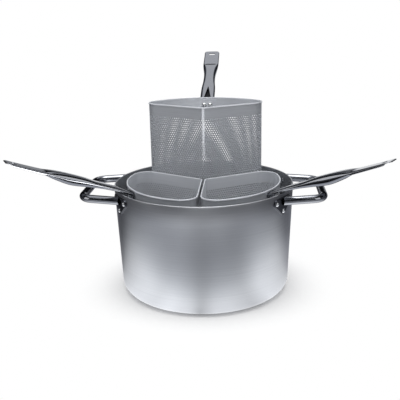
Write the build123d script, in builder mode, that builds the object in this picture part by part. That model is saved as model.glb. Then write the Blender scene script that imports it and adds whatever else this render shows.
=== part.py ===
from build123d import *
from math import asin, cos, degrees, hypot, radians, sin, sqrt, tan
import os

# A pasta pot with three lift-out strainer baskets, each a third of a round, in millimetres, +Z up.
# The origin is where the pot's axis meets the table. The front is towards -Y, and the side loops
# are on +X and -X.

# Pot
rim_radius = 180.0
pot_height = 220.0
base_radius = 171.0
wall_thickness = 3.3
floor_thickness = 4.0
base_corner = 22.0
rim_round = 1.2

# Baskets
thirds = 3
basket_radius = 154.0
basket_gap = 7.0
basket_rim_rise = 5.0
basket_foot_gap = 0.3
apex_round = 10.0
side_round = 28.0
foot_round = 8.0
pan_height = 9.0
sheet_thickness = 1.2
hem_height = 2.6
hem_fold = 1.3
hem_round = 0.5
rear_lift = 143.5

# Perforation: staggered round holes, coarser than on the real sheet but with the same open share
hole_pitch = 18.0
hole_diameter = 10.8
plain_band = 24.0

# Basket handles, pressed from stainless sheet and folded into a hollow grip
handle_reach = 232.0
handle_rise = 96.5
handle_start_drop = 8.6
handle_width = 38.0
handle_sheet = 1.5
tab_drop = 26.0
throat_width = 18.0
slot_length = 16.0
slot_width = 8.0
slot_from_tip = 17.0
tip_round = 10.0

# Side loops, bent from round stainless tube
loop_tube = 16.0
loop_tube_wall = 1.5
loop_reach = 235.5
loop_drop = 15.5
loop_half_span = 71.0
loop_bend = 28.0
landing_angle = 30.0

# Flange plates under the ends of the loops
plate_thickness = 3.0
plate_round = 8.0
plate_side = 23.0
plate_upper_drop = 15.5
plate_lower_drop = 34.0
plate_edge_round = 0.8

# Rivets
shank_diameter = 5.0
loop_rivet_head = 10.0
loop_rivet_dome = 2.6
loop_rivet_inner_dome = 1.3
basket_rivet_head = 11.0
basket_rivet_dome = 3.0
basket_rivet_outer_dome = 1.6
basket_rivet_spacing = 13.0
basket_rivet_drop = 18.0

# Clearances and cutting depth
rivet_clearance = 0.05
seat_gap = 0.1
overrun = 6.0

# The handle's sections, from the basket outwards: how far along the reach, then the top and the
# bottom as shares of the rise, then the width as a share of the handle's width
neck_section_shares = (
    (-0.010, 0.074, -0.002, 0.83),
    (0.118, 0.222, 0.129, 0.84),
    (0.230, 0.330, 0.223, 0.82),
)
grip_section_shares = (
    (0.268, 0.365, 0.250, 0.79),
    (0.306, 0.402, 0.272, 0.75),
    (0.349, 0.451, 0.296, 0.72),
    (0.388, 0.499, 0.320, 0.71),
    (0.461, 0.568, 0.355, 0.71),
    (0.530, 0.630, 0.405, 0.76),
    (0.586, 0.674, 0.478, 0.83),
    (0.625, 0.701, 0.531, 0.89),
    (0.655, 0.719, 0.575, 0.93),
    (0.681, 0.731, 0.621, 0.95),
)
plate_section_shares = (
    (0.707, 0.734, 0.670, 0.96),
    (1.000, 1.000, 0.953, 0.94),
)
section_round_share = 0.28
plate_solid_share = 0.1

os.makedirs("parts", exist_ok=True)

third = 360 / thirds
half_third = radians(third / 2)
half_gap = basket_gap / 2
slope = (rim_radius - base_radius) / pot_height
basket_foot = floor_thickness + basket_foot_gap
basket_rim = pot_height + basket_rim_rise
pan_top = basket_foot + pan_height
rivet_hole = shank_diameter / 2 + rivet_clearance


def save(part, name):
    """Label a finished piece and write it."""
    part.label = name
    export_step(part, f"parts/{name}.step")


def wall_radius(height):
    """Radius of the pot's outer wall at a height."""
    return base_radius + slope * height


def wall_place(angle, height):
    """A place on the pot's outer wall, with its Z axis pointing straight out of the metal."""
    radius = wall_radius(height)
    across = (cos(radians(angle)), sin(radians(angle)))
    outward = Vector(across[0], across[1], -slope)
    return Plane(origin=(radius * across[0], radius * across[1], height), z_dir=outward)


def staggered(width, height):
    """Places of staggered holes that fit a field, measured from its centre."""
    row_step = hole_pitch * sin(radians(60))
    rows = int((height - hole_diameter) / row_step) + 1
    columns = int((width - hole_diameter - hole_pitch / 2) / hole_pitch) + 1
    places = []
    for row in range(rows):
        shift = hole_pitch / 4 if row % 2 else -hole_pitch / 4
        up = (row - (rows - 1) / 2) * row_step
        for column in range(columns):
            across = (column - (columns - 1) / 2) * hole_pitch + shift
            places.append((across, up))
    return places


def sector(inset):
    """A basket's outline, drawn in from the outer face of its sheet, with its middle along +Y."""
    radius = basket_radius - inset
    apex = (half_gap + inset) / sin(half_third)
    side_x = 2 * radius * sin(half_third)
    side_y = apex + 2 * radius * cos(half_third)
    with BuildSketch() as outline:
        Circle(radius)
        with BuildLine():
            Polyline((0, apex), (side_x, side_y), (-side_x, side_y), close=True)
        make_face(mode=Mode.INTERSECT)
        by_side = outline.vertices().sort_by(Axis.X)
        fillet([by_side[0], by_side[-1]], radius=side_round - inset)
        fillet(outline.vertices().sort_by(Axis.Y)[0], radius=apex_round - inset)
    return outline.sketch


def cap_middle(radius, dome):
    """Half-way point of a domed cap's outline, from the centre of its foot."""
    ball = (radius**2 + dome**2) / (2 * dome)
    half_angle = asin(radius / ball) / 2
    return ball * sin(half_angle), dome - ball * (1 - cos(half_angle))


def rivet(grip_start, grip_end, head, outer_dome, inner_dome):
    """A rivet along +Z that holds what lies between two heights, with domed heads."""
    radius = head / 2
    shank_radius = shank_diameter / 2
    outer_across, outer_up = cap_middle(radius, outer_dome)
    inner_across, inner_up = cap_middle(radius, inner_dome)
    inner_top = (0, grip_start - inner_dome)
    outer_top = (0, grip_end + outer_dome)
    with BuildPart() as solid:
        with BuildSketch(Plane.XZ):
            with BuildLine():
                Line(inner_top, outer_top)
                ThreePointArc(outer_top, (outer_across, grip_end + outer_up), (radius, grip_end))
                Polyline(
                    (radius, grip_end),
                    (shank_radius, grip_end),
                    (shank_radius, grip_start),
                    (radius, grip_start),
                )
                ThreePointArc((radius, grip_start), (inner_across, grip_start - inner_up), inner_top)
            make_face()
        revolve(axis=Axis.Z)
    return solid.part


# Places of the flange plates and of their rivets, for the four ends of the two loops
plate_angles = {
    "right_front": -landing_angle,
    "right_rear": landing_angle,
    "left_rear": 180 - landing_angle,
    "left_front": 180 + landing_angle,
}
upper_height = pot_height - plate_upper_drop
lower_height = pot_height - plate_lower_drop
side_angle = degrees(asin(plate_side / wall_radius(upper_height)))
plate_rivet_places = {
    name: [
        wall_place(angle - side_angle, upper_height),
        wall_place(angle + side_angle, upper_height),
        wall_place(angle, lower_height),
    ]
    for name, angle in plate_angles.items()
}
loop_rivet_places = [place for places in plate_rivet_places.values() for place in places]

# Pot body: one deep aluminium shell with a slight taper, a round foot corner and a plain rim
with BuildPart() as pot_body:
    with BuildSketch(Plane.XZ):
        with BuildLine():
            Polyline(
                (0, 0),
                (base_radius, 0),
                (rim_radius, pot_height),
                (rim_radius - wall_thickness, pot_height),
                (wall_radius(floor_thickness) - wall_thickness, floor_thickness),
                (0, floor_thickness),
                close=True,
            )
        make_face()
    revolve(axis=Axis.Z)
    rings = pot_body.edges().filter_by(GeomType.CIRCLE)
    fillet(rings.group_by(Axis.Z)[0], radius=base_corner)
    rings = pot_body.edges().filter_by(GeomType.CIRCLE)
    inner_corner = rings.filter_by(lambda ring: abs(ring.center().Z - floor_thickness) < seat_gap)
    fillet(inner_corner, radius=base_corner - wall_thickness)
    rings = pot_body.edges().filter_by(GeomType.CIRCLE)
    fillet(rings.group_by(Axis.Z)[-1], radius=rim_round)
    with Locations(*loop_rivet_places):
        Cylinder(rivet_hole, 2 * overrun, mode=Mode.SUBTRACT)
save(pot_body.part, "pot_body")

# Flange plates: rounded triangles of steel sheet, pressed to the curve of the wall
for name, angle in plate_angles.items():
    outward = (cos(radians(angle)), sin(radians(angle)), 0)
    across = (-sin(radians(angle)), cos(radians(angle)), 0)
    with BuildPart() as flange_plate:
        with BuildSketch(Plane(origin=(0, 0, 0), x_dir=across, z_dir=outward)):
            with Locations((-plate_side, upper_height), (plate_side, upper_height), (0, lower_height)):
                Circle(plate_round)
            make_hull()
        extrude(amount=2 * rim_radius)
        with BuildSketch(Plane.XZ):
            with BuildLine():
                Polyline(
                    (base_radius + seat_gap, 0),
                    (base_radius + seat_gap + plate_thickness, 0),
                    (rim_radius + seat_gap + plate_thickness, pot_height),
                    (rim_radius + seat_gap, pot_height),
                    close=True,
                )
            make_face()
        revolve(axis=Axis.Z, mode=Mode.INTERSECT)
        outer_face = flange_plate.faces().sort_by_distance((0, 0, upper_height))[-1]
        fillet(outer_face.edges(), radius=plate_edge_round)
        with Locations(*plate_rivet_places[name]):
            Cylinder(rivet_hole, 4 * overrun, mode=Mode.SUBTRACT)
    save(flange_plate.part, f"{name}_plate")

# Side loops: round tube, bent twice and welded to the two plates
loop_height = pot_height - loop_drop
landing_radius = wall_radius(loop_height)
landing_x = landing_radius * cos(radians(landing_angle))
landing_y = landing_radius * sin(radians(landing_angle))
with BuildPart() as loop_right:
    with BuildLine(Plane.XY.offset(loop_height)) as loop_path:
        FilletPolyline(
            (landing_x, -landing_y),
            (loop_reach, -loop_half_span),
            (loop_reach, loop_half_span),
            (landing_x, landing_y),
            radius=loop_bend,
        )
    with BuildSketch(Plane(origin=loop_path.wire() @ 0, z_dir=loop_path.wire() % 0)):
        Circle(loop_tube / 2)
        Circle(loop_tube / 2 - loop_tube_wall, mode=Mode.SUBTRACT)
    sweep()
    with BuildSketch(Plane.XZ):
        with BuildLine():
            Polyline(
                (0, 0),
                (base_radius + plate_thickness + 2 * seat_gap, 0),
                (rim_radius + plate_thickness + 2 * seat_gap, pot_height),
                (0, pot_height),
                close=True,
            )
        make_face()
    revolve(axis=Axis.Z, mode=Mode.SUBTRACT)
for name, turn in {"right_loop": 0, "left_loop": 180}.items():
    with BuildPart() as loop:
        with Locations(Location((0, 0, 0), (0, 0, turn))):
            add(loop_right.part)
    save(loop.part, name)

# Loop rivets: three in each plate, through the plate and the pot's wall
with BuildPart() as loop_rivets:
    with Locations(*loop_rivet_places):
        add(
            rivet(
                -wall_thickness - seat_gap,
                plate_thickness + 2 * seat_gap,
                loop_rivet_head,
                loop_rivet_dome,
                loop_rivet_inner_dome,
            )
        )
save(loop_rivets.part, "loop_rivets")

# Basket rivet holes, in the middle of the basket's round side
rivet_height = basket_rim - basket_rivet_drop
basket_rivet_planes = [
    Plane(origin=(side * basket_rivet_spacing / 2, basket_radius, rivet_height), z_dir=(0, 1, 0))
    for side in (-1, 1)
]

# Basket wall: perforated aluminium sheet, bent round, welded and hemmed outwards at the rim
wall_height = basket_rim - pan_top
field_height = wall_height - plain_band
field_middle = pan_top + field_height / 2
corner_centre = basket_radius - side_round
corner_angle = degrees(asin((half_gap + side_round) / corner_centre))
arc_width = radians(third - 2 * corner_angle) * basket_radius
flat_start = half_gap / tan(half_third) + apex_round * tan(radians(90) - half_third)
flat_end = sqrt(corner_centre**2 - (half_gap + side_round) ** 2)
arc_places = []
for across, up in staggered(arc_width, field_height):
    angle = across / basket_radius
    arc_places.append(
        Plane(
            origin=(basket_radius * sin(angle), basket_radius * cos(angle), field_middle + up),
            z_dir=(sin(angle), cos(angle), 0),
        )
    )
flat_places = []
for across, up in staggered(flat_end - flat_start, field_height):
    along = (flat_start + flat_end) / 2 + across
    for side in (-1, 1):
        flat_places.append(
            Plane(
                origin=(
                    side * (along * sin(half_third) - half_gap * cos(half_third)),
                    along * cos(half_third) + half_gap * sin(half_third),
                    field_middle + up,
                ),
                z_dir=(-side * cos(half_third), sin(half_third), 0),
            )
        )
with BuildPart() as basket_wall:
    with BuildSketch(Plane.XY.offset(pan_top)):
        add(sector(0))
        add(sector(sheet_thickness), mode=Mode.SUBTRACT)
    extrude(amount=wall_height)
    with BuildSketch(Plane.XY.offset(basket_rim - hem_height)):
        add(sector(-hem_fold))
        add(sector(sheet_thickness / 2), mode=Mode.SUBTRACT)
    extrude(amount=hem_height)
    rim_edges = basket_wall.faces().sort_by(Axis.Z)[-1].edges()
    fillet(rim_edges, radius=hem_round)
    with Locations(*arc_places, *flat_places):
        Cylinder(hole_diameter / 2, 2 * overrun, mode=Mode.SUBTRACT)
    with Locations(*basket_rivet_planes):
        Cylinder(rivet_hole, 2 * overrun, mode=Mode.SUBTRACT)

# Basket floor: perforated sheet pressed into a shallow pan, welded under the wall
floor_margin = foot_round + hole_diameter / 2
floor_places = []
for across, up in staggered(2 * basket_radius, 2 * basket_radius):
    from_flats = up * sin(half_third) - abs(across) * cos(half_third) - half_gap
    from_round = basket_radius - hypot(across, up)
    if min(from_flats, from_round) > floor_margin:
        floor_places.append((across, up, basket_foot))
with BuildPart() as pan_hollow:
    with BuildSketch(Plane.XY.offset(basket_foot + sheet_thickness)):
        add(sector(sheet_thickness))
    extrude(amount=pan_height)
    fillet(pan_hollow.faces().sort_by(Axis.Z)[0].edges(), radius=foot_round - sheet_thickness)
with BuildPart() as basket_floor:
    with BuildSketch(Plane.XY.offset(basket_foot)):
        add(sector(0))
    extrude(amount=pan_height)
    fillet(basket_floor.faces().sort_by(Axis.Z)[0].edges(), radius=foot_round)
    add(pan_hollow.part, mode=Mode.SUBTRACT)
    with Locations(*floor_places):
        Cylinder(hole_diameter / 2, 2 * overrun, mode=Mode.SUBTRACT)

# Basket handle: a long hollow grip that rises over the pot's rim and ends in a flat eye,
# with an open throat on top at its foot and a riveted tab down the basket's side
handle_base = pot_height - handle_start_drop
tab_radius = basket_radius + seat_gap
tab_top = handle_base + neck_section_shares[0][1] * handle_rise


def handle_sections(shares, skin):
    """Rounded sections of the handle, drawn in from its outer face by the thickness of a skin."""
    sections = []
    for along, top, bottom, width in shares:
        high = handle_base + top * handle_rise - skin
        low = handle_base + bottom * handle_rise + skin
        with BuildSketch(Plane.XZ.offset(-(basket_radius + along * handle_reach))) as section:
            with Locations((0, (high + low) / 2)):
                RectangleRounded(
                    width * handle_width - 2 * skin,
                    high - low,
                    section_round_share * (high - low),
                )
        sections.append(section.sketch)
    return sections


def top_point(section):
    """The top of one of the handle's sections, as distance from the axis and height."""
    return basket_radius + section[0] * handle_reach, handle_base + section[1] * handle_rise


def handle_plane(start, end, lowered):
    """A plane along the handle between two points, with its Y axis outwards, lowered into the metal."""
    along = Vector(0, end[0] - start[0], end[1] - start[1])
    across = Vector(1, 0, 0)
    plane = Plane(origin=(0, start[0], start[1]), x_dir=across, z_dir=across.cross(along))
    return plane.offset(-lowered)


neck_start = top_point(neck_section_shares[0])
neck_end = top_point(neck_section_shares[-1])
plate_start = top_point(plate_section_shares[0])
plate_end = top_point(plate_section_shares[-1])
neck_length = hypot(neck_end[0] - neck_start[0], neck_end[1] - neck_start[1])
plate_length = hypot(plate_end[0] - plate_start[0], plate_end[1] - plate_start[1])
neck_width = neck_section_shares[0][3] * handle_width
pocket_start = plate_solid_share * plate_length
pocket_end = plate_length - handle_sheet
pocket_start_half = plate_section_shares[0][3] * handle_width / 2 - handle_sheet
pocket_end_half = plate_section_shares[-1][3] * handle_width / 2 - handle_sheet
tip_width = plate_section_shares[-1][3] * handle_width
tip_y = basket_radius + handle_reach
with BuildPart() as basket_handle:
    outside = neck_section_shares + grip_section_shares + plate_section_shares
    loft(sections=handle_sections(outside, 0), ruled=True)
    inside = neck_section_shares + grip_section_shares + plate_section_shares[:1]
    loft(sections=handle_sections(inside, handle_sheet), ruled=True, mode=Mode.SUBTRACT)
    # Open throat on top of the neck
    with BuildSketch(handle_plane(neck_start, neck_end, 0)):
        with BuildLine():
            Polyline((-throat_width / 2, 0), (throat_width / 2, 0), (0, neck_length), close=True)
        make_face()
    extrude(amount=2 * handle_sheet, both=True, mode=Mode.SUBTRACT)
    # Flat end: open underneath between its turned-down edges
    with BuildSketch(handle_plane(plate_start, plate_end, handle_sheet)) as pocket:
        with BuildLine():
            Polyline(
                (-pocket_start_half, pocket_start),
                (pocket_start_half, pocket_start),
                (pocket_end_half, pocket_end),
                (-pocket_end_half, pocket_end),
                close=True,
            )
        make_face()
        fillet(pocket.vertices().group_by(Axis.Y)[-1], radius=tip_round - handle_sheet)
    extrude(amount=-overrun, mode=Mode.SUBTRACT)
    with BuildSketch(Plane.XY):
        with Locations((0, tip_y)):
            Rectangle(2 * handle_width, 2 * tip_round)
        with Locations((0, tip_y - 2 * tip_round)):
            RectangleRounded(tip_width, 4 * tip_round, tip_round, mode=Mode.SUBTRACT)
    extrude(amount=basket_rim + handle_rise, mode=Mode.SUBTRACT)
    with BuildSketch(handle_plane(plate_end, plate_start, 0)):
        with Locations((0, slot_from_tip)):
            SlotOverall(slot_length, slot_width)
    extrude(amount=overrun, both=True, mode=Mode.SUBTRACT)
    # Tab down the outside of the basket's round wall
    with BuildSketch(Plane.XY.offset(tab_top - tab_drop)):
        Circle(tab_radius + handle_sheet)
        with Locations((0, basket_radius)):
            Rectangle(neck_width, basket_radius, mode=Mode.INTERSECT)
    extrude(amount=tab_drop)
    with Locations((0, 0, basket_rim)):
        Cylinder(tab_radius, 2 * basket_rim, mode=Mode.SUBTRACT)
    with Locations(*basket_rivet_planes):
        Cylinder(rivet_hole, 2 * overrun, mode=Mode.SUBTRACT)

# Basket rivets: domed heads inside the basket
head_reach = (basket_rivet_spacing + basket_rivet_head) / 2
inner_sheet = sqrt((basket_radius - sheet_thickness) ** 2 - head_reach**2) - basket_radius
with BuildPart() as basket_rivets:
    with Locations(*basket_rivet_planes):
        add(
            rivet(
                inner_sheet - seat_gap,
                handle_sheet + 2 * seat_gap,
                basket_rivet_head,
                basket_rivet_outer_dome,
                basket_rivet_dome,
            )
        )

# Baskets in their places: the two front ones stand in the pot and the rear one is lifted
baskets = {
    "front_left": (third, 0),
    "front_right": (-third, 0),
    "rear": (0, rear_lift),
}
pieces = {
    "wall": basket_wall.part,
    "floor": basket_floor.part,
    "handle": basket_handle.part,
    "rivets": basket_rivets.part,
}
for basket, (turn, lift) in baskets.items():
    for piece, shape in pieces.items():
        with BuildPart() as placed:
            with Locations(Location((0, 0, lift), (0, 0, turn))):
                add(shape)
        save(placed.part, f"{basket}_basket_{piece}")
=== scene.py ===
import bpy
from math import asin, atan2, ceil, cos, hypot, pi, radians, sin, sqrt, tan
from mathutils import Matrix, Vector


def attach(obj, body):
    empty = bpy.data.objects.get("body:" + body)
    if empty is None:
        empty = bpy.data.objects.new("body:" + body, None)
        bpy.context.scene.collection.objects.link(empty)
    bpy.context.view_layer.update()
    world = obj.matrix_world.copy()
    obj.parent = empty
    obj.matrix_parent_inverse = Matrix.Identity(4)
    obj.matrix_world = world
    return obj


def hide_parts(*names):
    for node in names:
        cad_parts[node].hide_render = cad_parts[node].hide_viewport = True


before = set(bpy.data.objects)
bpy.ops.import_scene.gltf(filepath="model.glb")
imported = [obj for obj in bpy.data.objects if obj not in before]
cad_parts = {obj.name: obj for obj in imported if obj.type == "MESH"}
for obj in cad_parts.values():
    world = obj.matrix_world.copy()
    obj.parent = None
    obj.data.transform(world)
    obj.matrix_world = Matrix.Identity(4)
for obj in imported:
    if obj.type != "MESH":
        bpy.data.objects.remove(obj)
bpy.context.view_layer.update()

bpy.ops.object.select_all(action="DESELECT")


# Camera: it stands a little right of the middle, at two and a half times the pot's height, and
# looks down at the rim, as the photograph was taken.
camera_distance = 1.2875
camera_height = 0.5627
camera_side = radians(4.17)
camera_turn = radians(0.36)
camera_down = radians(16.56)
camera_roll = radians(-1.25)
focal_pixels = 656.6
frame_pixels = 400
sensor_width = 36
nearest_seen = 0.01

bpy.ops.object.camera_add()
camera = bpy.context.object
camera.name = "camera"
camera.data.sensor_width = sensor_width
camera.data.lens = focal_pixels / frame_pixels * sensor_width
camera.data.clip_start = nearest_seen
stand = Vector((camera_distance * sin(camera_side), -camera_distance * cos(camera_side), camera_height))
camera.matrix_world = (
    Matrix.Translation(stand)
    @ Matrix.Rotation(camera_side + camera_turn, 4, "Z")
    @ Matrix.Rotation(pi / 2 - camera_down, 4, "X")
    @ Matrix.Rotation(camera_roll, 4, "Z")
)
bpy.context.scene.camera = camera
bpy.context.scene.view_settings.view_transform = "Standard"


# Backdrop: the camera sees it plain white, and a soft sky lights the pot. Mirrored rays see a sharper
# studio that is painted on it: white soft boxes, and the black and grey cards that give polished
# steel its dark bands.
sky_strength = 3.0
sky = (
    (0.0, "#3c3e42"),
    (0.4, "#7c7e84"),
    (0.8, "#ffffff"),
)
# From the horizon behind the camera (0.5) over the top (0.75) to the horizon behind the pot (1)
cards = (
    (0.50, "#f4f5f7"),
    (0.53, "#9a9ca0"),
    (0.55, "#0e0f12"),
    (0.60, "#0e0f12"),
    (0.63, "#b8babe"),
    (0.68, "#d4d6da"),
    (0.76, "#ffffff"),
    (0.80, "#f0f1f4"),
    (0.915, "#dcdee2"),
    (0.93, "#101014"),
    (0.97, "#101014"),
    (0.985, "#a4a6aa"),
    (1.00, "#c8cace"),
)
# From the left (0) to the right (1): black flags high at both sides, and grey ones low
high_flags = (
    (0.00, "#0c0d10"),
    (0.18, "#0c0d10"),
    (0.22, "#e8e9ec"),
    (0.38, "#ffffff"),
    (0.62, "#ffffff"),
    (0.71, "#e8e9ec"),
    (0.75, "#0c0d10"),
    (1.00, "#0c0d10"),
)
low_flags = (
    (0.00, "#46484e"),
    (0.30, "#56585e"),
    (0.42, "#ffffff"),
    (0.58, "#ffffff"),
    (0.70, "#7c7e84"),
    (1.00, "#6c6e74"),
)
high_from, high_to = 0.2, 0.32
# High behind the pot the flags are grey and stand closer together
back_flags = (
    (0.00, "#5c5e64"),
    (0.37, "#5c5e64"),
    (0.41, "#ffffff"),
    (0.59, "#ffffff"),
    (0.63, "#5c5e64"),
    (1.00, "#5c5e64"),
)
back_from, back_to = 0.82, 0.84


def srgb(code):
    """A hex colour as the linear colour that a node takes."""
    channels = [int(code[place:place + 2], 16) / 255 for place in (1, 3, 5)]
    linear = [c / 12.92 if c <= 0.04045 else ((c + 0.055) / 1.055) ** 2.4 for c in channels]
    return (*linear, 1)


def add_node(tree, kind, values=(), links=(), stops=(), **settings):
    """A node with its settings, its sockets' values, what is linked to them, and a ramp's stops."""
    node = tree.nodes.new(kind)
    for setting, value in settings.items():
        setattr(node, setting, value)
    for socket, value in dict(values).items():
        node.inputs[socket].default_value = value
    for socket, source in dict(links).items():
        tree.links.new(source, node.inputs[socket])
    for place, shade in stops[1:-1]:
        node.color_ramp.elements.new(place)
    for number, (place, shade) in enumerate(stops):
        node.color_ramp.elements[number].position = place
        node.color_ramp.elements[number].color = srgb(shade)
    return node


def add_angle(tree, parts, across):
    """The angle from the camera's side round to the side across, as a share: 0.5 at the camera."""
    forward = add_node(tree, "ShaderNodeMath", {1: -1.0}, {0: parts.outputs["Y"]}, operation="MULTIPLY")
    angle = add_node(
        tree,
        "ShaderNodeMath",
        links={0: parts.outputs[across], 1: forward.outputs[0]},
        operation="ARCTAN2",
    )
    share = add_node(
        tree,
        "ShaderNodeMath",
        {1: 0.5 / pi, 2: 0.5},
        {0: angle.outputs[0]},
        operation="MULTIPLY_ADD",
    )
    return share.outputs[0]


world = bpy.data.worlds.new("studio")
bpy.context.scene.world = world
world.use_nodes = True
tree = world.node_tree
tree.nodes.clear()
rays = add_node(tree, "ShaderNodeLightPath")
direction = add_node(tree, "ShaderNodeTexCoord")
parts = add_node(tree, "ShaderNodeSeparateXYZ", links={0: direction.outputs["Generated"]})
overhead = add_angle(tree, parts, "Z")
overhead_cards = add_node(tree, "ShaderNodeValToRGB", links={0: overhead}, stops=cards)
sideways = add_node(
    tree,
    "ShaderNodeMath",
    {1: 0.5, 2: 0.5},
    {0: parts.outputs["X"]},
    operation="MULTIPLY_ADD",
)
low, high, back = (
    add_node(tree, "ShaderNodeValToRGB", links={0: sideways.outputs[0]}, stops=stops)
    for stops in (low_flags, high_flags, back_flags)
)
raised = add_node(
    tree,
    "ShaderNodeMapRange",
    {"From Min": high_from, "From Max": high_to},
    {"Value": parts.outputs["Z"]},
)
behind_pot = add_node(
    tree,
    "ShaderNodeMapRange",
    {"From Min": back_from, "From Max": back_to},
    {"Value": overhead},
)
all_high = add_node(
    tree,
    "ShaderNodeMix",
    links={0: behind_pot.outputs[0], 6: high.outputs[0], 7: back.outputs[0]},
    data_type="RGBA",
)
flags = add_node(
    tree,
    "ShaderNodeMix",
    links={0: raised.outputs[0], 6: low.outputs[0], 7: all_high.outputs[2]},
    data_type="RGBA",
)
mirrored = add_node(
    tree,
    "ShaderNodeMix",
    {0: 1.0},
    {6: overhead_cards.outputs[0], 7: flags.outputs[2]},
    data_type="RGBA",
    blend_type="MULTIPLY",
)
soft_sky = add_node(tree, "ShaderNodeValToRGB", links={0: parts.outputs["Z"]}, stops=sky)
soft = add_node(tree, "ShaderNodeBackground", {"Strength": sky_strength}, {"Color": soft_sky.outputs[0]})
sharp = add_node(tree, "ShaderNodeBackground", {"Strength": 1.0}, {"Color": mirrored.outputs[2]})
behind = add_node(tree, "ShaderNodeBackground", {"Color": srgb("#ffffff"), "Strength": 1.0})
metal_sees = add_node(
    tree,
    "ShaderNodeMixShader",
    links={0: rays.outputs["Is Glossy Ray"], 1: soft.outputs[0], 2: sharp.outputs[0]},
)
seen = add_node(
    tree,
    "ShaderNodeMixShader",
    links={0: rays.outputs["Is Camera Ray"], 1: metal_sees.outputs[0], 2: behind.outputs[0]},
)
add_node(tree, "ShaderNodeOutputWorld", links={0: seen.outputs[0]})


# Table: a wide sheet of white paper under the pot. The camera sees the lamps' shadow round the pot's
# foot, deepened by painted shade, since the paper's glow is turned down near the foot, and white that
# burns out farther off. Mirrored rays alone see greys that are painted on it by their place,
# steepness and length, and stand for cards and dark cloths.
table_size = 4
table_gap = 0.0005
paper_white = srgb("#b8b8b8")
# Painted shade: towards the pot's foot the paper glows less and shows its own grey
painted_shade_from, painted_shade_to = 0.165, 0.27
least_glow = 0.1
# From the pot's middle outwards. A distance counts 0.3 to the sides, and half to front and back
pool_squeeze = (0.3, 0.5, 0)
pool = (
    (0.11, "#eeeff1"),
    (0.125, "#dcdee1"),
    (0.145, "#b8babe"),
    (0.17, "#9a9ca0"),
    (0.22, "#8e9096"),
    (0.25, "#989aa0"),
    (0.29, "#b4b6bb"),
    (0.34, "#d8dade"),
    (0.45, "#dcdee1"),
    (0.60, "#74767b"),
    (1.00, "#4a4c50"),
)
# Round the pot, from behind it (0) by its left side (0.25) to the camera's side (0.5) and back
sides = (
    (0.00, "#a8a8ac"),
    (0.13, "#a8a8ac"),
    (0.165, "#4c4c50"),
    (0.205, "#48484c"),
    (0.235, "#a4a4a4"),
    (0.27, "#c8c8c8"),
    (0.32, "#ececec"),
    (0.36, "#f8f8f8"),
    (0.40, "#f0f0f0"),
    (0.435, "#ffffff"),
    (0.48, "#e8e8e8"),
    (0.50, "#c0c0c0"),
    (0.53, "#e8e8e8"),
    (0.56, "#e8e8e8"),
    (0.61, "#d0d0d0"),
    (0.66, "#f4f4f4"),
    (0.72, "#e0e0e0"),
    (0.765, "#c4c4c4"),
    (0.80, "#88888c"),
    (0.84, "#808084"),
    (0.87, "#a8a8ac"),
    (1.00, "#a8a8ac"),
)
sheen_strength = 2.0
# How steeply a mirrored ray comes down, from level (0) to straight down (1): a dark band for the
# handles and loops, of which the pot sees nothing close round its foot
below = (
    (0.00, "#ffffff"),
    (0.46, "#ffffff"),
    (0.53, "#1c1c20"),
    (0.70, "#1c1c20"),
    (0.78, "#c4c4c8"),
    (1.00, "#e0e0e4"),
)
foot_from, foot_to = 0.16, 0.20
# To what is above the rim the table is black, but for grey straight below
straight_below = (
    (0.00, "#0c0c0e"),
    (0.70, "#0c0c0e"),
    (0.78, "#84868c"),
    (1.00, "#a8aab0"),
)
above_from, above_to = 0.228, 0.24
# To a long ray it is dark, but for a painted white card under the camera, which glows only in
# mirrored rays and gives the lifted basket's apex a painted highlight. The angle is that of sides,
# and a ray from below the pot's rim meets no card.
painted_dark_cloth = "#141416"
far_off = (
    (0.00, painted_dark_cloth),
    (0.45, painted_dark_cloth),
    (0.48, "#ffffff"),
    (0.57, "#ffffff"),
    (0.60, painted_dark_cloth),
    (1.00, painted_dark_cloth),
)
painted_highlight_strength = 8.0
lifted_from, lifted_to = 0.218, 0.224
far_from, far_to = 0.66, 0.72

bpy.ops.mesh.primitive_plane_add(size=table_size, location=(0, 0, -table_gap))
table = bpy.context.object
table.name = "table"
paper = bpy.data.materials.new("white_paper_sweep")
paper.use_nodes = True
tree = paper.node_tree
tree.nodes.clear()
rays = add_node(tree, "ShaderNodeLightPath")
where = add_node(tree, "ShaderNodeTexCoord")
parts = add_node(tree, "ShaderNodeSeparateXYZ", links={0: where.outputs["Object"]})
flat = add_node(tree, "ShaderNodeCombineXYZ", links={0: parts.outputs["X"], 1: parts.outputs["Y"]})
away = add_node(tree, "ShaderNodeVectorMath", links={0: flat.outputs[0]}, operation="LENGTH")
# Painted shade round the foot: the glow that the camera sees fades in towards the pot
glow_past_painted_shade = add_node(
    tree,
    "ShaderNodeMapRange",
    {"From Min": painted_shade_from, "From Max": painted_shade_to, "To Min": least_glow, "To Max": 1.0},
    {"Value": away.outputs["Value"]},
)
glow_share = add_node(
    tree,
    "ShaderNodeMath",
    links={0: glow_past_painted_shade.outputs[0], 1: rays.outputs["Is Camera Ray"]},
    operation="MULTIPLY",
)
matt = add_node(tree, "ShaderNodeBsdfDiffuse", {"Color": paper_white})
glow = add_node(tree, "ShaderNodeEmission", {"Color": srgb("#ffffff"), "Strength": 1.0})
lit = add_node(
    tree,
    "ShaderNodeMixShader",
    links={0: glow_share.outputs[0], 1: matt.outputs[0], 2: glow.outputs[0]},
)

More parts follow.
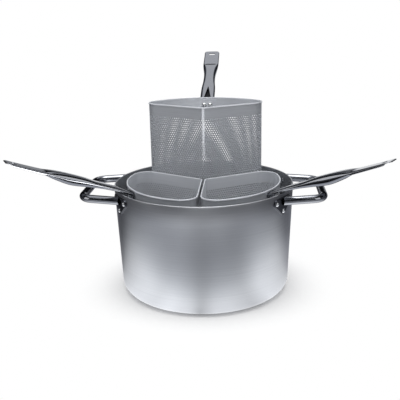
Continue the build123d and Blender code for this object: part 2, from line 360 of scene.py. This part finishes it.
broad = add_node(
    tree,
    "ShaderNodeVectorMath",
    {1: pool_squeeze},
    {0: flat.outputs[0]},
    operation="MULTIPLY",
)
pool_away = add_node(tree, "ShaderNodeVectorMath", links={0: broad.outputs[0]}, operation="LENGTH")
around = add_angle(tree, parts, "X")
pool_seen = add_node(tree, "ShaderNodeValToRGB", links={0: pool_away.outputs["Value"]}, stops=pool)
sides_seen = add_node(tree, "ShaderNodeValToRGB", links={0: around}, stops=sides)
mirrored = add_node(
    tree,
    "ShaderNodeMix",
    {0: 1.0},
    {6: pool_seen.outputs[0], 7: sides_seen.outputs[0]},
    data_type="RGBA",
    blend_type="MULTIPLY",
)
shape = add_node(tree, "ShaderNodeNewGeometry")
steep = add_node(tree, "ShaderNodeSeparateXYZ", links={0: shape.outputs["Incoming"]})
past_foot = add_node(
    tree,
    "ShaderNodeMapRange",
    {"From Min": foot_from, "From Max": foot_to},
    {"Value": pool_away.outputs["Value"]},
)
band = add_node(tree, "ShaderNodeValToRGB", links={0: steep.outputs["Z"]}, stops=below)
dark_below = add_node(
    tree,
    "ShaderNodeMix",
    links={0: past_foot.outputs[0], 6: mirrored.outputs[2], 7: band.outputs[0]},
    data_type="RGBA",
    blend_type="MULTIPLY",
)
# A mirrored ray's length times its steepness is the height that it comes from
height = add_node(
    tree,
    "ShaderNodeMath",
    links={0: rays.outputs["Ray Length"], 1: steep.outputs["Z"]},
    operation="MULTIPLY",
)
above_rim = add_node(
    tree,
    "ShaderNodeMapRange",
    {"From Min": above_from, "From Max": above_to},
    {"Value": height.outputs[0]},
)
from_above = add_node(tree, "ShaderNodeValToRGB", links={0: steep.outputs["Z"]}, stops=straight_below)
by_height = add_node(
    tree,
    "ShaderNodeMix",
    links={0: above_rim.outputs[0], 6: dark_below.outputs[2], 7: from_above.outputs[0]},
    data_type="RGBA",
)
sheen = add_node(tree, "ShaderNodeEmission", {"Strength": sheen_strength}, {"Color": by_height.outputs[2]})
lifted = add_node(
    tree,
    "ShaderNodeMapRange",
    {"From Min": lifted_from, "From Max": lifted_to},
    {"Value": height.outputs[0]},
)
painted_card_place = add_node(tree, "ShaderNodeValToRGB", links={0: around}, stops=far_off)
far_seen = add_node(
    tree,
    "ShaderNodeMix",
    {6: srgb(painted_dark_cloth)},
    {0: lifted.outputs[0], 7: painted_card_place.outputs[0]},
    data_type="RGBA",
)
# Painted highlight: the card glows for mirrored rays, though it is no lamp
card = add_node(tree, "ShaderNodeEmission", {"Strength": painted_highlight_strength}, {"Color": far_seen.outputs[2]})
far = add_node(
    tree,
    "ShaderNodeMapRange",
    {"From Min": far_from, "From Max": far_to},
    {"Value": rays.outputs["Ray Length"]},
)
mirror = add_node(
    tree,
    "ShaderNodeMixShader",
    links={0: far.outputs[0], 1: sheen.outputs[0], 2: card.outputs[0]},
)
surface = add_node(
    tree,
    "ShaderNodeMixShader",
    links={0: rays.outputs["Is Glossy Ray"], 1: lit.outputs[0], 2: mirror.outputs[0]},
)
add_node(tree, "ShaderNodeOutputMaterial", links={0: surface.outputs[0]})
table.data.materials.append(paper)


# Lamps: two soft boxes in front, one at each side, and a larger and stronger one overhead. With the
# backdrop's soft sky they light the pot from all round.
pot_middle = Vector((0, 0, 0.15))


def soft_box(name, place, width, height, power):
    """A rectangular lamp that faces the pot's middle."""
    bpy.ops.object.light_add(type="AREA", location=place)
    lamp = bpy.context.object
    lamp.name = name
    lamp.data.shape = "RECTANGLE"
    lamp.data.size = width
    lamp.data.size_y = height
    lamp.data.energy = power
    lamp.rotation_euler = (pot_middle - Vector(place)).to_track_quat("-Z", "Y").to_euler()


soft_box("left_soft_box", (-1.6, -0.7, 0.55), width=0.9, height=1.0, power=3)
soft_box("right_soft_box", (1.5, -1.0, 0.62), width=0.9, height=1.0, power=3)
soft_box("top_soft_box", (0, -0.1, 2.0), width=1.6, height=1.2, power=24)


# Pot body: one shell of aluminium, deep-drawn and then turned, so that fine rings run round it. It
# has a slight taper, a round foot corner and a plain rim, which the real pot has ground bright, but
# which here has the shell's one finish.
rim_radius = 0.180
pot_height = 0.220
base_radius = 0.171
wall_thickness = 0.0033
floor_thickness = 0.004
base_corner = 0.022
rim_round = 0.0012
round_steps = 256
corner_steps = 8
wall_steps = 5
rim_steps = 4
merge_distance = 1e-5
crease_angle = radians(30)
# Turning leaves rings about 0.3 mm apart, drawn here about 1 mm apart so that they show. Each ring
# keeps its tone for a long way round.
ring_spacing = 0.001
ring_run = 1 / 3


def merge_and_face_out():
    """In edit mode, merge the points that lie together and point the faces outwards."""
    bpy.ops.mesh.select_all(action="SELECT")
    bpy.ops.mesh.remove_doubles(threshold=merge_distance)
    bpy.ops.mesh.normals_make_consistent(inside=False)


def finish_mesh(name):
    """Leave edit mode with a merged mesh that is smooth but for its creases."""
    merge_and_face_out()
    bpy.ops.object.mode_set(mode="OBJECT")
    piece = bpy.context.object
    piece.name = name
    bpy.ops.object.shade_smooth_by_angle(angle=crease_angle)
    return piece


def add_streaks(tree, width, run, detail, harshness):
    """Noise in level streaks of a real width and length, for a pattern on Object coordinates."""
    where = add_node(tree, "ShaderNodeTexCoord")
    stretched = add_node(
        tree,
        "ShaderNodeMapping",
        {"Scale": (1 / run, 1 / run, 1 / width)},
        {"Vector": where.outputs["Object"]},
    )
    streaks = add_node(
        tree,
        "ShaderNodeTexNoise",
        {"Scale": 1.0, "Detail": detail, "Roughness": harshness},
        {"Vector": stretched.outputs[0]},
    )
    return streaks.outputs["Fac"]


def aluminium(name, dark, light, streaks, metallic, rough, bump):
    """Aluminium with streaks, such as rings or grain, between two greys, that also stand out a little."""
    material = bpy.data.materials.new(name)
    material.use_nodes = True
    tree = material.node_tree
    shader = tree.nodes["Principled BSDF"]
    pattern = add_streaks(tree, *streaks)
    tone = add_node(
        tree,
        "ShaderNodeMix",
        {"A": srgb(dark), "B": srgb(light)},
        {0: pattern},
        data_type="RGBA",
    )
    strength, depth = bump
    ridges = add_node(
        tree,
        "ShaderNodeBump",
        {"Strength": strength, "Distance": depth},
        {"Height": pattern},
    )
    tree.links.new(tone.outputs[2], shader.inputs["Base Color"])
    tree.links.new(ridges.outputs[0], shader.inputs["Normal"])
    shader.inputs["Metallic"].default_value = metallic
    shader.inputs["Roughness"].default_value = rough
    return material


slope = (rim_radius - base_radius) / pot_height
inner_corner = base_corner - wall_thickness
foot_lean = pi / 2 - atan2(rim_radius - base_radius, pot_height)
corner_x = base_radius - base_corner * tan(foot_lean / 2)
inner_base = base_radius - wall_thickness + slope * floor_thickness
inner_x = inner_base - inner_corner * tan(foot_lean / 2)
# Up the outside, over the rim, and down the inside to the floor
profile = []
for step in range(corner_steps + 1):
    turn = foot_lean * step / corner_steps
    profile.append((corner_x + base_corner * sin(turn), base_corner * (1 - cos(turn))))
for step in range(1, wall_steps):
    level = pot_height * step / wall_steps
    profile.append((base_radius + slope * level, level))
for step in range(rim_steps + 1):
    turn = pi / 2 * step / rim_steps
    across = rim_radius - slope * rim_round - rim_round * (1 - cos(turn))
    profile.append((across, pot_height - rim_round * (1 - sin(turn))))
for step in range(rim_steps + 1):
    turn = pi / 2 * step / rim_steps
    across = rim_radius - wall_thickness + rim_round * (1 - sin(turn))
    profile.append((across, pot_height - rim_round * (1 - cos(turn))))
for step in range(corner_steps + 1):
    turn = foot_lean * (1 - step / corner_steps)
    across = inner_x + inner_corner * sin(turn)
    profile.append((across, floor_thickness + inner_corner * (1 - cos(turn))))

bpy.ops.mesh.primitive_circle_add(vertices=round_steps, radius=corner_x, fill_type="NGON")
bpy.ops.object.mode_set(mode="EDIT")
bpy.ops.mesh.select_mode(type="EDGE")
bpy.ops.mesh.select_all(action="SELECT")
bpy.ops.mesh.region_to_loop()
ring_radius, ring_height = profile[0]
for radius, level in profile[1:]:
    rise = (0, 0, level - ring_height)
    bpy.ops.mesh.extrude_edges_move(TRANSFORM_OT_translate={"value": rise})
    factor = radius / ring_radius
    bpy.ops.transform.resize(value=(factor, factor, 1), center_override=(0, 0, level))
    ring_radius, ring_height = radius, level
bpy.ops.mesh.edge_face_add()
pot = finish_mesh("pot_shell")

turned = aluminium(
    "turned_satin_aluminium",
    dark="#b0b2b6",
    light="#cacccf",
    streaks=(ring_spacing, ring_run, 4.0, 0.7),
    metallic=1,
    rough=0.34,
    bump=(0.12, 0.0004),
)
# The rings draw reflections out across them
turned.node_tree.nodes["Principled BSDF"].inputs["Anisotropic"].default_value = 0.5
pot.data.materials.append(turned)
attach(pot, "pot")
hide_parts("pot_body")


# Basket walls: aluminium sheet, punched with staggered 3 mm holes, bent round to a third of a
# circle and folded outwards into a hem at the rim. The band under the hem is left plain.
thirds = 3
basket_radius = 0.154
half_gap = 0.0035
apex_round = 0.010
side_round = 0.028
sheet = 0.0012
basket_rim = 0.225
pan_top = 0.0133
plain_band = 0.024
hem_height = 0.0026
hem_gap = 0.0001
fold_steps = 4
hole_diameter = 0.003
hole_pitch = 0.005
hole_corners = 8
hole_rows = 42
# Rolling leaves a grain along the sheet about 0.2 mm wide, drawn here 0.8 mm wide so that it shows
grain_width = 0.0008
grain_run = 1 / 12

half_third = pi / thirds
middle_radius = basket_radius - sheet / 2
corner_radius = side_round - sheet / 2
apex_radius = apex_round - sheet / 2
corner_centre = basket_radius - side_round
corner_from = half_third - asin((half_gap + side_round) / corner_centre)
flat_facing = half_third + pi / 2
corner_middle = Vector((corner_centre * sin(corner_from), corner_centre * cos(corner_from), 0))
apex_middle = Vector((0, (half_gap + apex_round) / sin(half_third), 0))
flat_out = Vector((sin(flat_facing), cos(flat_facing), 0))
flat_start = corner_middle + flat_out * corner_radius
flat_end = apex_middle + flat_out * apex_radius
arc_length = middle_radius * corner_from
corner_length = corner_radius * (flat_facing - corner_from)
flat_length = (flat_end - flat_start).length
apex_length = apex_radius * (pi - flat_facing)
half_outline = arc_length + corner_length + flat_length + apex_length
columns = round(2 * half_outline / hole_pitch)
column_step = 2 * half_outline / columns
row_step = hole_pitch * sin(pi / 3)


def along_outline(length):
    """A length along the sheet, counted both ways from the middle of its round side."""
    return (length + half_outline) % (2 * half_outline) - half_outline


def outline_place(length):
    """The place and the outward direction at a length along the sheet."""
    length = along_outline(length)
    side = -1 if length < 0 else 1
    run = abs(length)
    middle, radius = Vector((0, 0, 0)), middle_radius
    if run <= arc_length:
        facing = run / middle_radius
    elif run <= arc_length + corner_length:
        facing = corner_from + (run - arc_length) / corner_radius
        middle, radius = corner_middle, corner_radius
    elif run <= arc_length + corner_length + flat_length:
        facing = flat_facing
        middle = flat_start.lerp(flat_end, (run - arc_length - corner_length) / flat_length)
        radius = 0
    else:
        facing = flat_facing + (run - half_outline + apex_length) / apex_radius
        middle, radius = apex_middle, apex_radius
    place = middle + Vector((sin(facing), cos(facing), 0)) * radius
    return Vector((side * place.x, place.y, 0)), Vector((side * sin(facing), cos(facing), 0))


def wrap(piece):
    """Bend a flat sheet round the basket's outline: X is the length, Y the way out, Z the height."""
    for vertex in piece.data.vertices:
        place, out = outline_place(vertex.co.x)
        flat = vertex.co.copy()
        vertex.co = place + out * flat.y
        vertex.co.z = flat.z


def select_only(piece, kind, test):
    """Open a piece in edit mode with only those of its points, edges or faces that pass a test."""
    bpy.ops.object.mode_set(mode="EDIT")
    bpy.ops.mesh.select_mode(type=kind)
    bpy.ops.mesh.select_all(action="DESELECT")
    bpy.ops.object.mode_set(mode="OBJECT")
    mesh = piece.data
    for part in {"VERT": mesh.vertices, "EDGE": mesh.edges, "FACE": mesh.polygons}[kind]:
        part.select = test(part)
    bpy.ops.object.mode_set(mode="EDIT")


def edge_heights(piece, edge):
    """The heights of an edge's two ends."""
    return [piece.data.vertices[end].co.z for end in edge.vertices]


def apply_modifier(piece, kind, **settings):
    """Give the active object a modifier and apply it."""
    modifier = piece.modifiers.new(kind.lower(), kind)
    for setting, value in settings.items():
        setattr(modifier, setting, value)
    bpy.ops.object.modifier_apply(modifier=modifier.name)


def punched_sheet(wide, tall, across, up):
    """A flat sheet of staggered holes: a cell with one hole, a second row half a step along, copies."""
    bpy.ops.mesh.primitive_circle_add(vertices=hole_corners, radius=hole_diameter / 2)
    cell = bpy.context.object
    bpy.ops.object.mode_set(mode="EDIT")
    bpy.ops.mesh.select_all(action="SELECT")
    bpy.ops.mesh.extrude_edges_move()
    bpy.ops.object.mode_set(mode="OBJECT")
    for vertex in cell.data.vertices:
        if vertex.select:
            vertex.co.x = round(2 * vertex.co.x / hole_diameter) * wide / 2
            vertex.co.y = round(2 * vertex.co.y / hole_diameter) * tall / 2
    bpy.ops.object.mode_set(mode="EDIT")
    bpy.ops.mesh.select_all(action="SELECT")
    bpy.ops.mesh.duplicate_move(TRANSFORM_OT_translate={"value": (wide / 2, tall, 0)})
    bpy.ops.object.mode_set(mode="OBJECT")
    for count, step in ((across, (wide, 0, 0)), (up, (0, 2 * tall, 0))):
        apply_modifier(
            cell,
            "ARRAY",
            count=count,
            use_relative_offset=False,
            use_constant_offset=True,
            constant_offset_displace=step,
        )
    bpy.ops.object.mode_set(mode="EDIT")
    bpy.ops.mesh.select_all(action="SELECT")
    bpy.ops.mesh.remove_doubles(threshold=merge_distance)
    bpy.ops.object.mode_set(mode="OBJECT")
    return cell


field_top = basket_rim - plain_band
field_foot = field_top - hole_rows * row_step
wall = punched_sheet(column_step, row_step, columns, hole_rows // 2)
wall.rotation_euler.x = pi / 2
wall.location.z = field_foot + row_step / 2
bpy.ops.object.transform_apply(location=True, rotation=True, scale=True)
select_only(wall, "EDGE", lambda edge: max(edge_heights(wall, edge)) < field_foot + merge_distance)
bpy.ops.mesh.extrude_edges_move(TRANSFORM_OT_translate={"value": (0, 0, pan_top - field_foot)})
select_only(wall, "EDGE", lambda edge: min(edge_heights(wall, edge)) > field_top - merge_distance)
# The hem is half a round over the rim, and its free edge comes down to the hem's foot
fold = (sheet + hem_gap) / 2
hem_foot = basket_rim - hem_height
hem_middle = basket_rim - sheet / 2 - fold
steps = [(0, hem_foot - field_top), (0, hem_middle - hem_foot)]
for step in range(fold_steps):
    start, end = pi * step / fold_steps, pi * (step + 1) / fold_steps
    steps.append((fold * (cos(start) - cos(end)), fold * (sin(end) - sin(start))))
steps.append((0, hem_foot - hem_middle))
for out, up in steps:
    bpy.ops.mesh.extrude_edges_move(TRANSFORM_OT_translate={"value": (0, out, up)})

# The round side and its corners are one piece, and the two flat sides and the apex another
split = round((arc_length + corner_length) / column_step) * column_step
select_only(wall, "FACE", lambda face: abs(along_outline(face.center.x)) > split)
bpy.ops.mesh.separate(type="SELECTED")
bpy.ops.object.mode_set(mode="OBJECT")
flat_sides = [piece for piece in bpy.context.selected_objects if piece != wall][0]


def make_active(piece):
    """Select one piece and no other."""
    bpy.ops.object.select_all(action="DESELECT")
    bpy.context.view_layer.objects.active = piece
    piece.select_set(True)


def stiffen(piece, thickness, materials):
    """Give a bent sheet its thickness and a smooth finish, with its inner material first."""
    make_active(piece)
    bpy.ops.object.mode_set(mode="EDIT")
    merge_and_face_out()
    bpy.ops.object.mode_set(mode="OBJECT")
    for material in materials:
        piece.data.materials.append(material)
    apply_modifier(piece, "SOLIDIFY", thickness=thickness, offset=0, material_offset=len(materials) - 1)
    bpy.ops.object.shade_smooth_by_angle(angle=crease_angle)


# The sheet is matt outside, and inside it is painted lighter, a painted light for what falls into the
# baskets
punched, painted_light_inside = (
    aluminium(
        name,
        dark,
        light,
        streaks=(grain_width, grain_run, 3.0, 0.6),
        metallic=0.55,
        rough=0.42,
        bump=(0.1, 0.0003),
    )
    for name, dark, light in (
        ("matt_aluminium_sheet", "#94979c", "#a8aaae"),
        ("aluminium_sheet_painted_lighter_inside", "#b6b9be", "#c8cace"),
    )
)
for side in (wall, flat_sides):
    wrap(side)
    stiffen(side, sheet, (painted_light_inside, punched))


# Basket floors: the same punched aluminium sheet, pressed into a shallow pan whose rim turns up
# round its edge, and welded under the wall.
basket_foot = 0.0043
foot_round = 0.008
floor_margin = 0.0105
pan_steps = 6
floor_level = basket_foot + sheet / 2
pan_round = foot_round - sheet / 2
pan_bend_top = floor_level + pan_round


def depth_inside(across, up):
    """How far a place of the floor is inside the basket's outline."""
    from_flats = up * sin(half_third) - abs(across) * cos(half_third) - half_gap
    from_round = basket_radius - hypot(across, up)
    in_flats = side_round - min(from_flats, side_round)
    in_round = side_round - min(from_round, side_round)
    if in_flats and in_round:
        return side_round - hypot(in_flats, in_round)
    return min(from_flats, from_round)


floor_columns = ceil(2 * basket_radius / hole_pitch)
floor_rows = ceil(basket_radius / row_step / 2)
# Every other row starts half a hole farther on, and all rows together are centred
first_column = -(floor_columns / 2 - 0.25) * hole_pitch


def near_edge(face):
    """Whether the hole that a face surrounds lies too near the floor's edge to be punched."""
    row = round(face.center.y / row_step)
    first = first_column + row % 2 * hole_pitch / 2
    column = round((face.center.x - first) / hole_pitch)
    depth = depth_inside(first + column * hole_pitch, row * row_step)
    return depth < floor_margin + hole_pitch / 2


floor = punched_sheet(hole_pitch, row_step, floor_columns, floor_rows)
floor.location = (first_column, 0, floor_level)
bpy.ops.object.transform_apply(location=True, rotation=True, scale=True)
select_only(floor, "FACE", near_edge)
bpy.ops.mesh.delete(type="FACE")
bpy.ops.object.mode_set(mode="OBJECT")

bpy.ops.mesh.primitive_grid_add(x_subdivisions=2 * columns, y_subdivisions=1, size=1)
pan = bpy.context.object
for vertex in pan.data.vertices:
    vertex.co.x = vertex.co.x * 2 * half_outline
    vertex.co.z = pan_top if vertex.co.y > 0 else pan_bend_top
    vertex.co.y = 0
select_only(pan, "EDGE", lambda edge: max(edge_heights(pan, edge)) < pan_bend_top + merge_distance)
for step in range(pan_steps):
    start, end = pi / 2 * step / pan_steps, pi / 2 * (step + 1) / pan_steps
    into = pan_round * (cos(start) - cos(end))
    down = pan_round * (sin(start) - sin(end))
    bpy.ops.mesh.extrude_edges_move(TRANSFORM_OT_translate={"value": (0, -into, down)})
bpy.ops.object.mode_set(mode="OBJECT")
wrap(pan)
floor.select_set(True)
bpy.ops.object.join()

# The plain strip between the pan's bend and the holes is filled in, and the holes stay open
bpy.ops.object.mode_set(mode="EDIT")
bpy.ops.mesh.select_mode(type="EDGE")
bpy.ops.mesh.select_all(action="SELECT")
bpy.ops.mesh.remove_doubles(threshold=merge_distance)
bpy.ops.mesh.select_all(action="DESELECT")
bpy.ops.mesh.select_non_manifold(
    extend=False,
    use_wire=False,
    use_boundary=True,
    use_multi_face=False,
    use_non_contiguous=False,
    use_verts=False,
)
bpy.ops.object.mode_set(mode="OBJECT")
# An edge about as long as a side of a hole's outline is taken for one
hole_edge = hole_diameter * sin(pi / hole_corners)
hole_edge_play = hole_edge / 20
points = pan.data.vertices
for edge in pan.data.edges:
    start, end = (points[number].co for number in edge.vertices)
    around_hole = abs((start - end).length - hole_edge) < hole_edge_play
    edge.select = edge.select and not around_hole and start.z < floor_level + merge_distance
bpy.ops.object.mode_set(mode="EDIT")
bpy.ops.mesh.fill()
bpy.ops.object.mode_set(mode="OBJECT")
stiffen(pan, sheet, (punched,))


# The three baskets: a wall of two pieces and a floor make one, and all three are alike. Two stand
# in the pot, and the rear one is lifted straight up, as the photograph shows it.
rear_lift = 0.1435
basket_places = {
    "front_left": (2 * half_third, 0),
    "front_right": (-2 * half_third, 0),
    "rear": (0, rear_lift),
}


def place_copy(piece, name, turn, lift, body, node):
    """Put a copy of a piece, with a mesh of its own, turned and lifted in the place of its node."""
    placed = piece.copy()
    placed.data = piece.data.copy()
    placed.name = name
    bpy.context.collection.objects.link(placed)
    placed.data.transform(Matrix.Translation((0, 0, lift)) @ Matrix.Rotation(turn, 4, "Z"))
    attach(placed, body)
    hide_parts(node)


def copy_to_baskets(piece, kind, node):
    """Put a copy of a piece on every basket, and take the first one away."""
    for basket, (turn, lift) in basket_places.items():
        body = f"{basket}_basket"
        place_copy(piece, f"{basket}_{kind}", turn, lift, body, f"{body}_{node}")
    bpy.data.objects.remove(piece)


copy_to_baskets(wall, "round_side", "wall")
copy_to_baskets(flat_sides, "flat_sides", "wall")
copy_to_baskets(pan, "floor_pan", "floor")


# Basket handles: stainless sheet folded round into a hollow grip, open in a throat at its foot and
# flat at its end, with a slot to hang it by. A tab runs down from it and is riveted to the basket.
handle_reach = 0.232
handle_rise = 0.0965
handle_base = pot_height - 0.0086
handle_width = 0.038
handle_sheet = 0.0015
handle_crease = radians(40)
tab_drop = 0.026
tab_corner = 0.006
tab_corner_steps = 6
tab_strips = 12
throat_width = 0.018
throat_cut = 3 * handle_sheet
throat_foot_shares = (0, 0.084)
throat_end_shares = (0.230, 0.330)
slot_length = 0.016
slot_width = 0.008
slot_from_tip = 0.017
slot_corners = 32
tip_shares = (1.0, 1.0)
flat_end_shares = (0.750, 0.773)
cutter_depth = 0.02

# How far along the reach, then the top and the underside as shares of the rise, the width as a share
# of the handle's width, and how far the seam underneath stands open, as a share of half the width
handle_station_shares = (
    (0.000, 0.084, 0.010, 0.83, 0.00),
    (0.060, 0.156, 0.073, 0.835, 0.00),
    (0.118, 0.222, 0.129, 0.84, 0.00),
    (0.175, 0.277, 0.178, 0.835, 0.00),
    (0.230, 0.330, 0.223, 0.82, 0.00),
    (0.268, 0.365, 0.250, 0.79, 0.00),
    (0.306, 0.402, 0.272, 0.75, 0.02),
    (0.349, 0.451, 0.296, 0.72, 0.02),
    (0.388, 0.499, 0.320, 0.71, 0.02),
    (0.461, 0.568, 0.355, 0.71, 0.02),
    (0.530, 0.630, 0.405, 0.76, 0.02),
    (0.586, 0.674, 0.478, 0.83, 0.02),
    (0.625, 0.701, 0.531, 0.89, 0.02),
    (0.655, 0.719, 0.575, 0.93, 0.10),
    (0.681, 0.731, 0.621, 0.95, 0.50),
    (0.694, 0.736, 0.648, 0.955, 0.90),
    (0.707, 0.738, 0.672, 0.96, 1.00),
    (0.750, 0.773, 0.713, 0.957, 1.00),
    (0.850, 0.864, 0.812, 0.95, 1.00),
    (0.945, 0.951, 0.903, 0.945, 1.00),
    (0.952, 0.957, 0.925, 0.944, 1.00),
    (0.956, 0.961, 0.948, 0.943, 1.00),
    (0.970, 0.974, 0.961, 0.925, 1.00),
    (0.983, 0.986, 0.973, 0.86, 1.00),
    (0.992, 0.991, 0.978, 0.76, 1.00),
    (0.998, 0.991, 0.978, 0.62, 1.00),
    (1.000, 0.988, 0.975, 0.48, 1.00),
)
# Half of the flat end's section, from the middle of its top round to the open seam underneath: the
# way out as a share of half the width, and the height above the underside as a share of the depth
flat_section = ((0, 1), (0.55, 1), (0.92, 1), (1, 0.72), (1, 0.30), (1, 0), (1, 0))
section_columns = 12


def folded_section(gap):
    """Half of the hollow grip's section, written as the flat end's is, with its seam open by a gap."""
    return (
        (0, 1.00),
        (0.48, 1.00),
        (0.84, 0.95),
        (1.00, 0.68),
        (0.99, 0.34),
        (max(gap, 0.72), 0.03),
        (gap, 0),
    )


def steel(name, shade, smooth, rough, smear):
    """Stainless steel whose shine varies between two roughnesses, in smears of one size."""
    material = bpy.data.materials.new(name)
    material.use_nodes = True
    tree = material.node_tree
    shader = tree.nodes["Principled BSDF"]
    shine = add_node(
        tree,
        "ShaderNodeMapRange",
        {"To Min": smooth, "To Max": rough},
        {"Value": add_streaks(tree, smear, smear, 3.0, 0.55)},
    )
    tree.links.new(shine.outputs[0], shader.inputs["Roughness"])
    shader.inputs["Base Color"].default_value = srgb(shade)
    shader.inputs["Metallic"].default_value = 1
    return material


# Polishing gives near-mirror bands, which fingers smear a little. Inside the fold the steel is left
# as it was pressed, dull, and it is painted dark, a painted shade in the hollow grip.
polished = steel("polished_stainless_steel", "#a2a4a9", smooth=0.06, rough=0.13, smear=0.006)
dull_painted_dark_inside = steel("dull_stainless_painted_dark_inside", "#26272a", smooth=0.55, rough=0.70, smear=0.006)

station_rows = len(handle_station_shares) - 1
bpy.ops.mesh.primitive_grid_add(x_subdivisions=section_columns, y_subdivisions=station_rows, size=2)
handle = bpy.context.object
for vertex in handle.data.vertices:
    column = round((vertex.co.x + 1) / 2 * section_columns) - section_columns // 2
    row = round((vertex.co.y + 1) / 2 * station_rows)
    along, top, low, width, gap = handle_station_shares[row]
    section = flat_section if gap == 1 else folded_section(gap)
    share, rise = section[abs(column)]
    across = share * width * handle_width / 2
    level = handle_base + (low + rise * (top - low)) * handle_rise
    out = basket_radius + handle_sheet / 2 + along * handle_reach
    if row == 0:
        out = sqrt(out**2 - across**2)
    vertex.co = (-across if column < 0 else across, out, level)
bpy.ops.object.mode_set(mode="EDIT")
merge_and_face_out()
bpy.ops.object.mode_set(mode="OBJECT")
handle.data.materials.append(polished)
handle.data.materials.append(dull_painted_dark_inside)
apply_modifier(handle, "SOLIDIFY", thickness=handle_sheet, offset=-1, material_offset=1)
apply_modifier(handle, "SUBSURF", levels=2, render_levels=2)


def cut(piece, tool):
    """Cut a piece with a tool, and throw the tool away."""
    make_active(piece)
    apply_modifier(piece, "BOOLEAN", object=tool, operation="DIFFERENCE", solver="EXACT")
    bpy.data.objects.remove(tool)


def handle_top(shares):
    """A point of the handle's middle line, at shares of its reach and of its rise."""
    return Vector((0, basket_radius + shares[0] * handle_reach, handle_base + shares[1] * handle_rise))


def handle_frame(start, end):
    """The place of a point on the handle's top, with Y towards another and Z square out of it."""
    along = (end - start).normalized()
    across = Vector((1, 0, 0))
    turn = Matrix((across, along, across.cross(along))).transposed()
    return Matrix.Translation(start) @ turn.to_4x4()


# The throat is a wedge, wide at the basket and closed at its end, cut right through the top
throat_foot = handle_top(throat_foot_shares)
throat_end = handle_top(throat_end_shares)
throat_length = (throat_end - throat_foot).length
bpy.ops.mesh.primitive_cylinder_add(vertices=3, radius=1, depth=2)
throat = bpy.context.object
for vertex in throat.data.vertices:
    side = round(vertex.co.x)
    along = 0 if side else throat_length
    vertex.co = (side * throat_width / 2, along, vertex.co.z * throat_cut)
throat.data.transform(handle_frame(throat_foot, throat_end))
cut(handle, throat)

bpy.ops.mesh.primitive_cylinder_add(vertices=slot_corners, radius=slot_width / 2, depth=cutter_depth)
slot_cutter = bpy.context.object
for vertex in slot_cutter.data.vertices:
    vertex.co.x += (slot_length - slot_width) / 2 * (1 if vertex.co.x > 0 else -1)
    vertex.co.y += slot_from_tip
slot_cutter.data.transform(handle_frame(handle_top(tip_shares), handle_top(flat_end_shares)))
cut(handle, slot_cutter)

# The tab is bent to the round of the basket's wall
bpy.ops.mesh.primitive_plane_add(size=2)
tab = bpy.context.object
tab_half = handle_station_shares[0][3] * handle_width / 2
tab_top = handle_base + handle_station_shares[0][1] * handle_rise
for vertex in tab.data.vertices:
    high = tab_top if vertex.co.y > 0 else tab_top - tab_drop
    vertex.co = (tab_half * vertex.co.x, 0, high)
select_only(tab, "VERT", lambda vertex: vertex.co.z < tab_top)
bpy.ops.mesh.bevel(offset=tab_corner, segments=tab_corner_steps, affect="VERTICES")
for step in range(1, tab_strips):
    bpy.ops.mesh.select_all(action="SELECT")
    place = tab_half * (2 * step / tab_strips - 1)
    bpy.ops.mesh.bisect(plane_co=(place, 0, 0), plane_no=(1, 0, 0))
bpy.ops.object.mode_set(mode="OBJECT")
tab_middle = basket_radius + handle_sheet / 2
for vertex in tab.data.vertices:
    vertex.co.y = sqrt(tab_middle**2 - vertex.co.x**2)
stiffen(tab, handle_sheet, (polished,))
handle.select_set(True)
bpy.context.view_layer.objects.active = handle
bpy.ops.object.join()
bpy.ops.object.shade_smooth_by_angle(angle=handle_crease)

copy_to_baskets(handle, "grip", "handle")


# Side loops: round stainless tube, polished, bent twice at each side of the pot, and welded at its
# two ends to the flange plates.
loop_tube = 0.016
loop_reach = 0.2355
loop_half_span = 0.071
loop_bend = 0.028
loop_level = pot_height - 0.0155
landing_angle = radians(30)
plate_thickness = 0.003
tube_sides = 32
bend_steps = 16

landing_radius = base_radius + slope * loop_level + plate_thickness / 2
landing = Vector((landing_radius * cos(landing_angle), landing_radius * sin(landing_angle), loop_level))
outer_end = Vector((loop_reach, loop_half_span, loop_level))
leg = outer_end - landing
leg_out = leg.normalized()
bend_turn = pi / 2 + asin(leg_out.y)
bend_setback = loop_bend * tan(bend_turn / 2)
straight = leg_out * (leg.length - bend_setback)
span = 2 * (loop_half_span - bend_setback)
bend_centre = landing + straight + Vector((leg_out.y, -leg_out.x, 0)) * loop_bend

bpy.ops.mesh.primitive_circle_add(vertices=tube_sides, radius=loop_tube / 2)
loop = bpy.context.object
facing_out = leg_out.to_track_quat("Z", "Y").to_matrix().to_4x4()
loop.data.transform(Matrix.Translation(landing) @ facing_out)
bpy.ops.object.mode_set(mode="EDIT")
bpy.ops.mesh.select_mode(type="EDGE")
bpy.ops.mesh.select_all(action="SELECT")
bpy.ops.mesh.extrude_edges_move(TRANSFORM_OT_translate={"value": straight})
bpy.ops.mesh.spin(steps=bend_steps, angle=bend_turn, center=bend_centre, axis=(0, 0, 1))
bpy.ops.mesh.extrude_edges_move(TRANSFORM_OT_translate={"value": (0, -span, 0)})
bend_centre.y = -bend_centre.y
bpy.ops.mesh.spin(steps=bend_steps, angle=bend_turn, center=bend_centre, axis=(0, 0, 1))
bpy.ops.mesh.extrude_edges_move(TRANSFORM_OT_translate={"value": (-straight.x, straight.y, 0)})
finish_mesh("loop")
loop.data.materials.append(polished)
for side, turn in {"right": 0, "left": pi}.items():
    place_copy(loop, f"{side}_side_loop", turn, 0, "pot", f"{side}_loop")
bpy.data.objects.remove(loop)


# Flange plates and rivets: stainless plates pressed to the pot's round, left satin and painted dark, a
# painted shade for the dark that they mirror, and rivets whose heads are painted bright, as painted
# glints. They keep their shapes from the frame.
satin = steel("stainless_plate_painted_dark", "#54565c", smooth=0.18, rough=0.28, smear=0.003)
rivet_painted_bright = steel("rivet_steel_painted_bright", "#dcdee0", smooth=0.12, rough=0.22, smear=0.002)
for name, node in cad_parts.items():
    if name.endswith("_plate") or name.endswith("_rivets"):
        node.data.materials.clear()
        node.data.materials.append(satin if name.endswith("_plate") else rivet_painted_bright)
